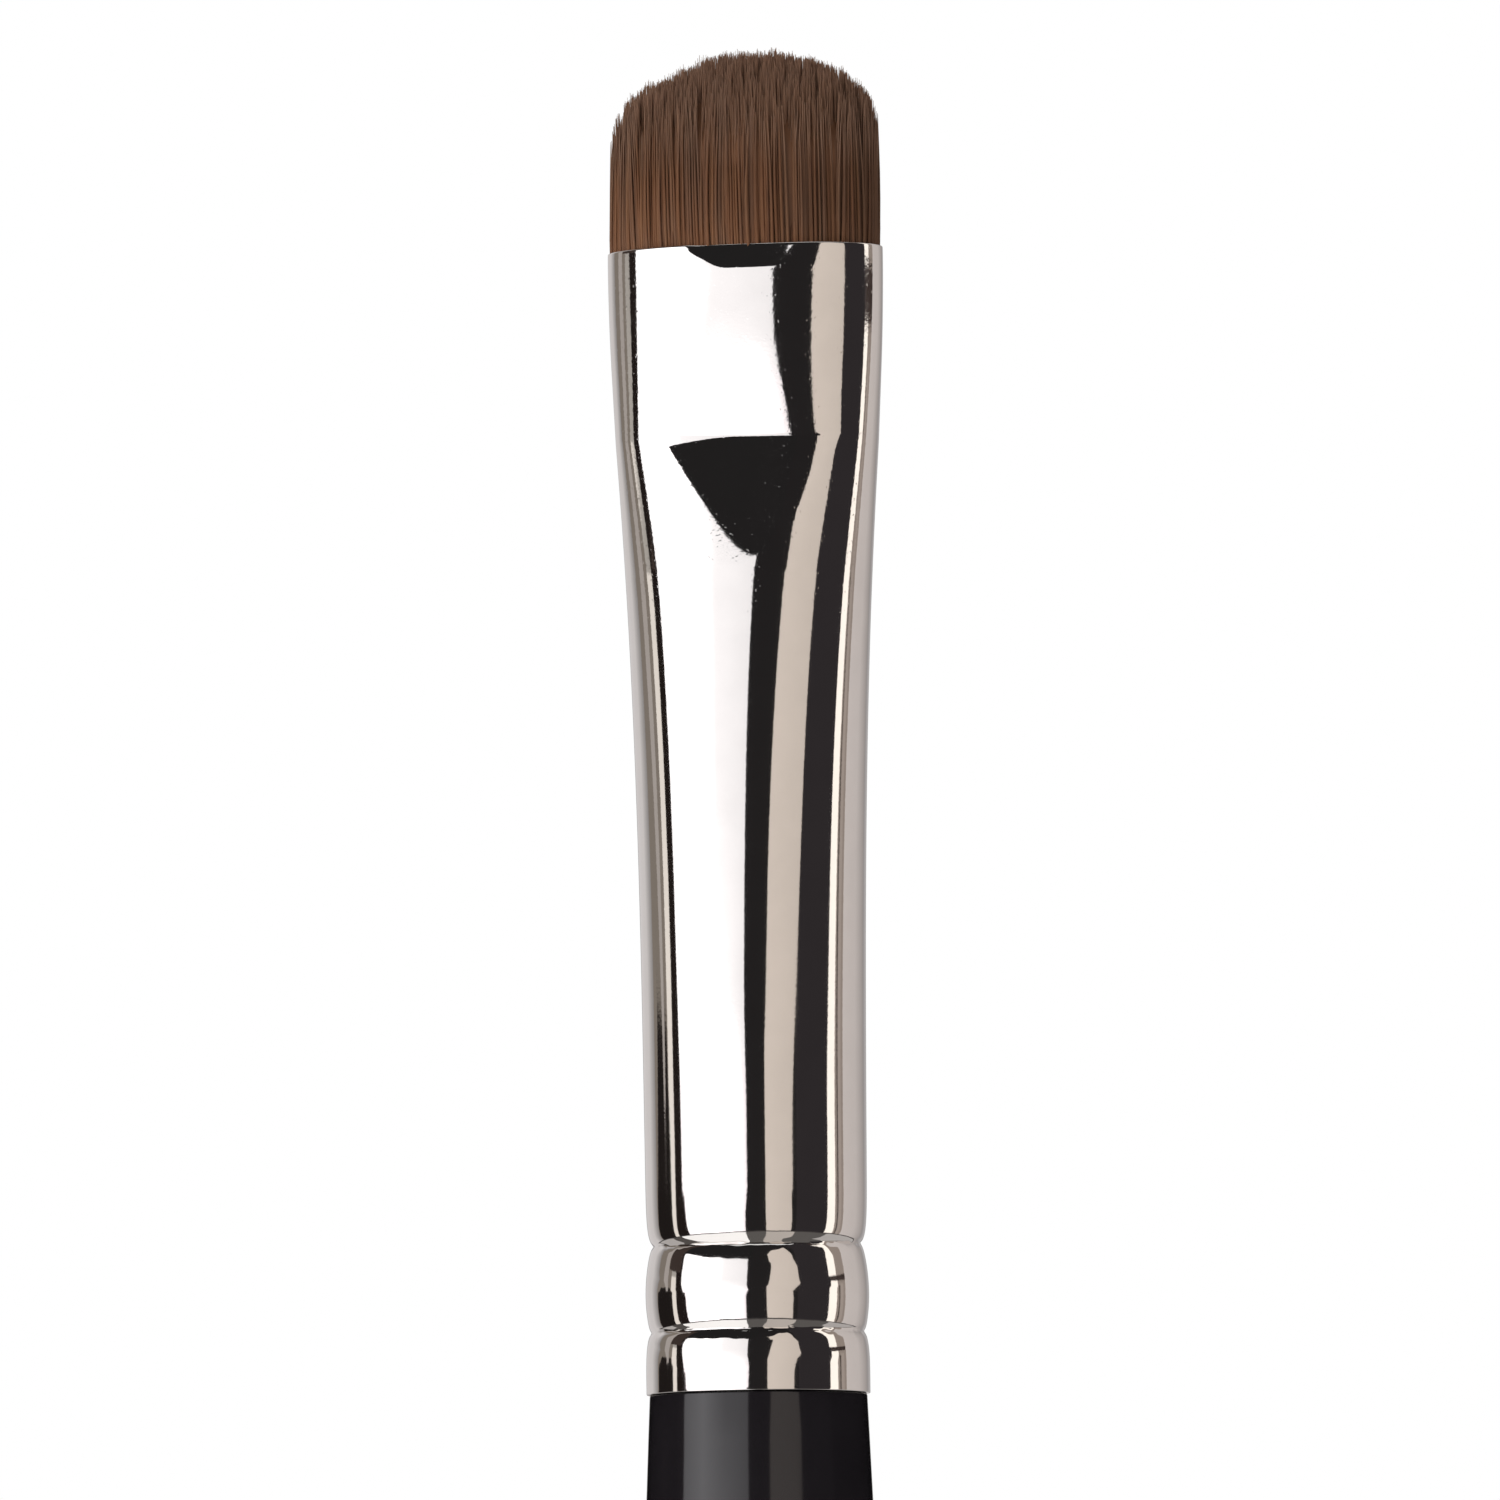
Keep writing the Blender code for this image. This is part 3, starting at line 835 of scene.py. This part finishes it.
def buildRoots(hair):
    # the inner mass under the free strands; it fills the ferrule down to the glue
    look = hairLook
    top = tuftHighZ + look["domeTop"] - look["coreGap"]
    seat = mouthZ - look["rootDepth"] * look["coreSeat"]
    heights = [top]
    for stop, count in ((top - 0.4 * mm, 8), (seat, 24), (tuftLowZ, 14)):
        heights += spread(heights[-1], stop, count)
    core = ringTube("hairRoots", look["coreSides"], heights)
    inset = (ferruleLook["wall"] + look["mouthGap"]) * look["corePacking"]
    for vertex in core.data.vertices:
        angle = math.atan2(vertex.co.y, vertex.co.x)
        rise = vertex.co.z - mouthZ
        if vertex.co.z > seat - 1e-7:
            reach = coreReach(rise)
            vertex.co.x, vertex.co.y = tuftPoint(reach * math.cos(angle), reach * math.sin(angle), rise)
            continue
        x, y = ferrulePoint(-rise, angle)
        length = math.hypot(x, y)
        vertex.co.x = x * (length - inset) / length
        vertex.co.y = y * (length - inset) / length
    closeRings(core, (heights[0], heights[-1]))
    outwards(core)
    smooth(core, 40)
    count = len(core.data.vertices)
    storeShades(core.data, [look["coreTone"]] * count, [top + look["coreGap"]] * count)
    place(core, "hair", hair)
    return core


# Hidden pieces keep their solids and get their own finish: name, two colours, scale and roughness

hiddenLook = {
    "root_glue": ("clearResin", (0.50, 0.38, 0.20), (0.68, 0.54, 0.30), 900.0, 0.2),
    "tenon_glue": ("amberGlue", (0.42, 0.26, 0.09), (0.62, 0.42, 0.17), 700.0, 0.28),
    "binding_thread": ("linenThread", (0.45, 0.39, 0.28), (0.70, 0.63, 0.50), 6000.0, 0.85),
}


def finishHidden():
    for nodeName, (name, dark, light, scale, roughness) in hiddenLook.items():
        material, tree, shader = startMaterial(name)
        cloud = noiseAt(tree, objectPoint(tree), scale, 4.0)
        plug(tree, ramp(tree, cloud, [(0.3, dark), (0.7, light)]), shader.inputs["Base Color"])
        shader.inputs["Roughness"].default_value = roughness
        bump = addNode(tree, "ShaderNodeBump", Strength=0.3, Distance=0.02 * mm, Height=cloud)
        plug(tree, bump.outputs["Normal"], shader.inputs["Normal"])
        for slot in nodes[nodeName].material_slots:
            slot.material = material


# Studio: floor, soft light and the cards that polished metal shows

studio = {
    "cameraAzimuth": 15.0,
    "cameraElevation": -4.3,
    "cameraDistance": 0.6,
    "frameWidth": 47.5 * mm,
    "cameraAim": 15.9 * mm,             # below the mouth
    "cameraShift": 0.03 * mm,           # to the left of the brush's axis
    "cameraRoll": 0.676,
    "sensor": 36.0,
    "floorSize": 6.0,
    "floorColor": (0.86, 0.86, 0.86),
    "floorShade": 0.985,
    "floorRoughness": 0.8,
    "ambient": 0.58,
    "keyPower": 0.9,
    "keySize": 0.35,
    "keyPlace": (-50.0, 20.0, 0.5),     # degrees right and up, and the distance
    "tableHeight": 0.003,
    "tableInner": 0.02,
    "tableEdge": (0.355, 0.40),         # dark gap between the glossy table and the cards' feet
    "tableEdgeColor": (1.0, 0.9, 0.88),
    "tableEdgeStrength": 0.06,
    "cardFoot": 0.40,
    "cardKnee": 0.12,                   # and the height below which they lean in to their feet
    "cardSteps": 24,
    "tableSteps": 12,
}

# What the polished metal shows: colour, strength, ring radius, and rows of (height, from, to, shares of
# the strength). From and to are degrees to the right of the camera, as seen from the brush. The shares
# are spaced evenly between them, and a row without its own has those of the row before. A flat card on
# the table has pairs of (from, to) only.
cards = {
    "whiteSoftbox": ((1.0, 0.95, 0.985), 3.0, 0.45, (
        (0.0, -78.0, -12.0, (0.5, 0.84, 1.0, 0.4)), (0.12, -79.0, -12.0), (0.147, -80.0, -10.5),
        (0.152, -83.0, -9.5), (0.162, -83.6, -10.3, (0.5, 0.83, 0.8, 0.38)))),
    "softboxTop": ((1.0, 0.985, 1.01), 3.0, 0.45, (
        (0.162, -83.6, -10.3, (0.5, 0.83, 0.8, 0.38)), (0.178, -85.2, -11.3, (0.5, 0.8, 0.5, 0.375)),
        (0.206, -85.8, -11.2, (0.5, 0.8, 0.425, 0.37)), (0.322, -85.8, -10.2))),
    "darkAbove": ((1.0, 0.95, 0.97), 0.018, 0.45, ((0.322, -108.0, -5.6), (1.1, -108.0, -5.6))),
    "darkFront": ((1.0, 0.91, 0.94), 0.0165, 0.47, (
        (0.0, -20.0, 42.0, (1.2,)), (1.1, -20.0, 42.0, (1.0,)))),
    "beigeWall": ((1.0, 0.885, 0.797), 0.75, 0.45, (
        (0.0, 10.0, 37.0, (1.06, 0.94)), (0.12, 9.0, 37.0), (0.145, 9.0, 36.5), (0.167, 9.2, 41.0),
        (0.175, 10.4, 44.0), (0.182, 11.2, 45.0), (0.190, 11.4, 44.6), (0.206, 12.4, 43.6),
        (0.264, 14.5, 43.1), (0.292, 14.5, 40.8), (0.303, 12.5, 39.5), (0.36, 11.5, 38.0),
        (0.51, 27.0, 31.0))),
    "darkRight": ((1.0, 0.868, 0.94), 0.0315, 0.48, ((0.0, 38.0, 86.0), (1.1, 38.0, 92.0))),
    "rightCream": ((1.0, 0.93, 0.86), 1.35, 0.45, (
        (0.0, 79.4, 90.5), (0.158, 80.0, 90.5), (0.168, 82.4, 92.0), (0.185, 82.4, 92.0))),
    "rightTaupe": ((1.0, 0.84, 0.742), 0.338, 0.45, (
        (0.0, 90.5, 103.5), (0.158, 90.5, 103.5), (0.168, 92.0, 103.5), (0.185, 92.0, 103.5))),
    "creamAbove": ((1.0, 0.93, 0.86), 1.35, 0.45, (
        (0.203, 80.0, 90.5, (0.5,)), (0.207, 80.0, 90.5, (1.0,)), (0.6, 79.0, 90.5))),
    "taupeAbove": ((1.0, 0.84, 0.742), 0.338, 0.45, ((0.203, 90.5, 103.5), (0.6, 90.5, 103.5))),
    "rightLine": ((1.0, 0.8, 0.75), 0.06, 0.448, ((0.0, 93.7, 95.2), (0.17, 93.7, 95.2))),
    "taupeLine": ((1.0, 0.85, 0.765), 0.41, 0.449, ((0.0, 95.8, 100.2), (0.175, 95.8, 100.2))),
    "rightBrown": ((1.0, 0.71, 0.65), 0.051, 0.47, ((0.12, 82.0, 120.0), (1.1, 82.0, 120.0))),
    "backGreyRight": ((1.0, 0.917, 0.89), 0.6, 0.45, (
        (0.0, 103.5, 152.0, (1.1, 1.02, 0.6)), (1.1, 103.5, 152.0))),
    "backGreyMiddle": ((1.0, 0.95, 0.95), 0.55, 0.45, (
        (0.0, 152.0, 190.0, (0.6, 1.0, 1.2)), (1.1, 152.0, 190.0))),
    "backStrip": ((1.0, 0.97, 0.96), 0.55, 0.44, (
        (0.0, 169.0, 191.0, (0.5, 1.0, 0.5)), (1.1, 169.0, 191.0))),
    "backGreyLeft": ((1.0, 0.96, 0.96), 0.69, 0.45, (
        (0.0, 190.0, 233.5, (1.0, 1.0, 1.0, 0.45)), (0.158, 190.0, 233.5), (0.172, 190.0, 235.0),
        (0.186, 190.0, 237.5), (0.205, 190.0, 235.0), (1.1, 190.0, 235.0))),
    "leftTaupe": ((1.0, 0.87, 0.754), 0.244, 0.452, (
        (0.0, 232.0, 262.0), (0.152, 232.0, 262.0), (0.158, 232.0, 260.0), (1.1, 232.0, 260.0))),
    "taupeStrip": ((1.0, 0.91, 0.857), 0.44, 0.445, (
        (0.157, 251.0, 254.0), (0.165, 250.6, 254.5), (0.175, 248.5, 254.2), (0.187, 246.1, 254.0),
        (1.1, 246.1, 254.0))),
    "leftCream": ((1.0, 0.936, 0.87), 0.967, 0.449, (
        (0.0, 261.5, 267.5), (0.152, 261.5, 267.5), (0.158, 259.4, 266.8), (0.203, 259.4, 266.4, (0.95,)),
        (0.208, 259.4, 266.2, (0.5,)), (0.2235, 259.0, 265.8, (0.45,)))),
    "leftBrown": ((1.0, 0.728, 0.64), 0.0525, 0.444, ((0.2235, 254.4, 272.0), (1.1, 254.4, 272.0))),
    "darkLeft": ((1.0, 0.72, 0.65), 0.0163, 0.47, ((0.0, 252.0, 282.0), (1.1, 252.0, 282.0))),
    "lowLeft": ((1.0, 0.8, 0.75), 0.015, 0.446, (
        (0.0, 234.5, 261.5), (0.153, 235.5, 261.5), (0.158, 239.0, 258.5), (0.167, 241.5, 258.0))),
    # the glossy table shows the cards again
    "tableWhite": ((1.0, 0.985, 0.98), 1.2, 0.0, ((-90.0, -12.0),)),
    "tableGrey": ((1.0, 0.94, 0.9), 0.12, 0.0, ((-12.0, 10.0), (42.0, 84.0))),
    "tableBeige": ((1.0, 0.91, 0.84), 0.55, 0.0, ((10.0, 42.0),)),
    "tableBehind": ((1.0, 0.95, 0.93), 0.5, 0.0, ((84.0, 252.0),)),
    "tableLeft": ((1.0, 0.9, 0.85), 0.1, 0.0, ((252.0, 270.0),)),
}

# the black lacquer doesn't catch the light of these, which stand behind it
behindHandle = (
    "rightCream", "rightTaupe", "creamAbove", "taupeAbove", "rightLine", "taupeLine", "rightBrown",
    "backGreyRight", "backGreyMiddle", "backGreyLeft", "leftTaupe", "taupeStrip", "leftCream", "leftBrown")


def direction(degreesRight, degreesUp):
    # unit vector from the brush; 0, 0 points level towards the camera
    azimuth = math.radians(studio["cameraAzimuth"] + degreesRight)
    up = math.radians(degreesUp)
    return Vector((math.sin(azimuth) * math.cos(up), -math.cos(azimuth) * math.cos(up), math.sin(up)))


def emission(name, color, strength):
    material = bpy.data.materials.new(name)
    material.use_nodes = True
    tree = material.node_tree
    tree.nodes.remove(tree.nodes["Principled BSDF"])
    power = compute(tree, "MULTIPLY", readAttribute(tree, "glow"), strength)
    glow = addNode(tree, "ShaderNodeEmission", Color=(*color, 1.0), Strength=power)
    plug(tree, glow.outputs["Emission"], tree.nodes["Material Output"].inputs["Surface"])
    return material


def addCard(name, corners, glows, faces, color, strength):
    mesh = bpy.data.meshes.new(name)
    mesh.from_pydata([tuple(corner) for corner in corners], [], faces)
    mesh.attributes.new("glow", "FLOAT", "POINT").data.foreach_set("value", glows)
    mesh.materials.append(emission(name, color, strength))
    card = bpy.data.objects.new(name, mesh)
    bpy.context.scene.collection.objects.link(card)
    card.visible_camera = False
    card.visible_diffuse = False
    card.visible_transmission = False
    card.visible_shadow = False
    return card


def tableCard(name, color, strength, sectors, inner, outer):
    steps = studio["tableSteps"]
    lift = Vector((0.0, 0.0, studio["tableHeight"]))
    corners = []
    faces = []
    for start, stop in sectors:
        first = len(corners)
        for index in range(steps + 1):
            for radius in (inner, outer):
                corners.append(direction(mix(start, stop, index / steps), 0.0) * radius + lift)
        for corner in range(first, first + 2 * steps, 2):
            faces.append((corner, corner + 1, corner + 3, corner + 2))
    addCard(name, corners, [1.0] * len(corners), faces, color, strength)


def shareAt(shares, turn):
    if len(shares) == 1:
        return shares[0]
    where = turn * (len(shares) - 1)
    index = min(int(where), len(shares) - 2)
    return mix(shares[index], shares[index + 1], where - index)


def fullRows(rows):
    # every row with its shares, and a card that stands on the table with a row at its knee
    filled = []
    shares = (1.0,)
    for height, start, stop, *own in rows:
        shares = own[0] if own else shares
        filled.append((height, start, stop, shares))
    if filled[0][0] == 0.0 and filled[1][0] > studio["cardKnee"]:
        filled.insert(1, (studio["cardKnee"], *filled[0][1:]))
    return filled


def standingCard(name, color, strength, radius, rows):
    steps = studio["cardSteps"]
    corners = []
    glows = []
    rows = fullRows(rows)
    for height, start, stop, shares in rows:
        away = mix(studio["cardFoot"], radius, clamp(height / studio["cardKnee"]))
        for index in range(steps + 1):
            turn = index / steps
            corners.append(direction(mix(start, stop, turn), 0.0) * away + Vector((0.0, 0.0, height)))
            glows.append(shareAt(shares, turn))
    faces = []
    for row in range(len(rows) - 1):
        for first in range(row * (steps + 1), row * (steps + 1) + steps):
            faces.append((first, first + 1, first + steps + 2, first + steps + 1))
    return addCard(name, corners, glows, faces, color, strength)


def buildCards(lit):
    # lit: the pieces that the cards behind the handle shine on
    receivers = bpy.data.collections.new("litFromBehind")
    for piece in lit:
        receivers.objects.link(piece)
    edgeInner, edgeOuter = studio["tableEdge"]
    for name, (color, strength, radius, rows) in cards.items():
        if len(rows[0]) == 2:
            tableCard(name, color, strength, rows, studio["tableInner"], edgeInner)
            continue
        card = standingCard(name, color, strength, radius, rows)
        if name in behindHandle:
            card.light_linking.receiver_collection = receivers
    thirds = ((0.0, 120.0), (120.0, 240.0), (240.0, 360.0))
    tableCard(
        "tableEdge", studio["tableEdgeColor"], studio["tableEdgeStrength"], thirds, edgeInner, edgeOuter)


def buildFloor():
    deselectAll()
    bpy.ops.mesh.primitive_plane_add(size=studio["floorSize"], location=(0, 0, 0))
    floor = bpy.context.object
    floor.name = "studioFloor"
    material, tree, shader = startMaterial("paleFloor")
    cloud = noiseAt(tree, objectPoint(tree), 6.0, 2.0)
    pale = studio["floorColor"]
    tone = ramp(tree, cloud, [(0.3, scaled(pale, studio["floorShade"])), (0.7, pale)])
    plug(tree, tone, shader.inputs["Base Color"])
    shader.inputs["Roughness"].default_value = studio["floorRoughness"]
    floor.data.materials.append(material)


def buildWorld():
    # white for the camera, the reflections and what is seen through; softer for the light
    world = bpy.data.worlds.new("studioWorld")
    bpy.context.scene.world = world
    world.use_nodes = True
    tree = world.node_tree
    tree.nodes.clear()
    rays = tree.nodes.new("ShaderNodeLightPath")
    seen = compute(tree, "ADD", rays.outputs["Is Camera Ray"], rays.outputs["Is Glossy Ray"], clamped=True)
    seen = compute(tree, "ADD", seen, rays.outputs["Is Transmission Ray"], clamped=True)
    white = (1.0, 1.0, 1.0, 1.0)
    ambient = addNode(tree, "ShaderNodeBackground", Color=white, Strength=studio["ambient"])
    backdrop = addNode(tree, "ShaderNodeBackground", Color=white, Strength=1.0)
    both = tree.nodes.new("ShaderNodeMixShader")
    plug(tree, seen, both.inputs[0])
    plug(tree, ambient.outputs["Background"], both.inputs[1])
    plug(tree, backdrop.outputs["Background"], both.inputs[2])
    output = tree.nodes.new("ShaderNodeOutputWorld")
    plug(tree, both.outputs["Shader"], output.inputs["Surface"])


def buildKeyLight():
    center = Vector((0.0, 0.0, mouthZ - studio["cameraAim"]))
    degreesRight, degreesUp, distance = studio["keyPlace"]
    lamp = bpy.data.lights.new("keyLight", "AREA")
    lamp.shape = "SQUARE"
    lamp.size = studio["keySize"]
    lamp.energy = studio["keyPower"]
    key = bpy.data.objects.new("keyLight", lamp)
    bpy.context.scene.collection.objects.link(key)
    key.location = center + direction(degreesRight, degreesUp) * distance
    key.rotation_euler = (center - key.location).to_track_quat("-Z", "Y").to_euler()
    key.visible_glossy = False
    key.visible_camera = False


def buildCamera():
    aim = Vector((0.0, 0.0, mouthZ - studio["cameraAim"]))
    center = direction(90.0, 0.0) * -studio["cameraShift"] + aim
    data = bpy.data.cameras.new("studioCamera")
    data.sensor_width = studio["sensor"]
    data.lens = studio["sensor"] * studio["cameraDistance"] / studio["frameWidth"]
    data.clip_start = 0.01
    data.clip_end = 20.0
    camera = bpy.data.objects.new("studioCamera", data)
    bpy.context.scene.collection.objects.link(camera)
    back = direction(0.0, studio["cameraElevation"])
    facing = (-back).to_track_quat("-Z", "Y").to_matrix().to_4x4()
    roll = Matrix.Rotation(math.radians(-studio["cameraRoll"]), 4, "Z")
    camera.matrix_world = Matrix.Translation(center + back * studio["cameraDistance"]) @ facing @ roll
    bpy.context.scene.camera = camera


ferrule = buildFerrule()
print("ferrule done")
buildHandle()
print("handle done")
hair = hairMaterial()
roots = buildRoots(hair)
strands = buildHair(hair)
print("hair done")
finishHidden()
buildFloor()
buildCards([ferrule, roots] + strands)
buildWorld()
buildKeyLight()
buildCamera()
bpy.context.scene.view_settings.view_transform = "Standard"
print("studio done")
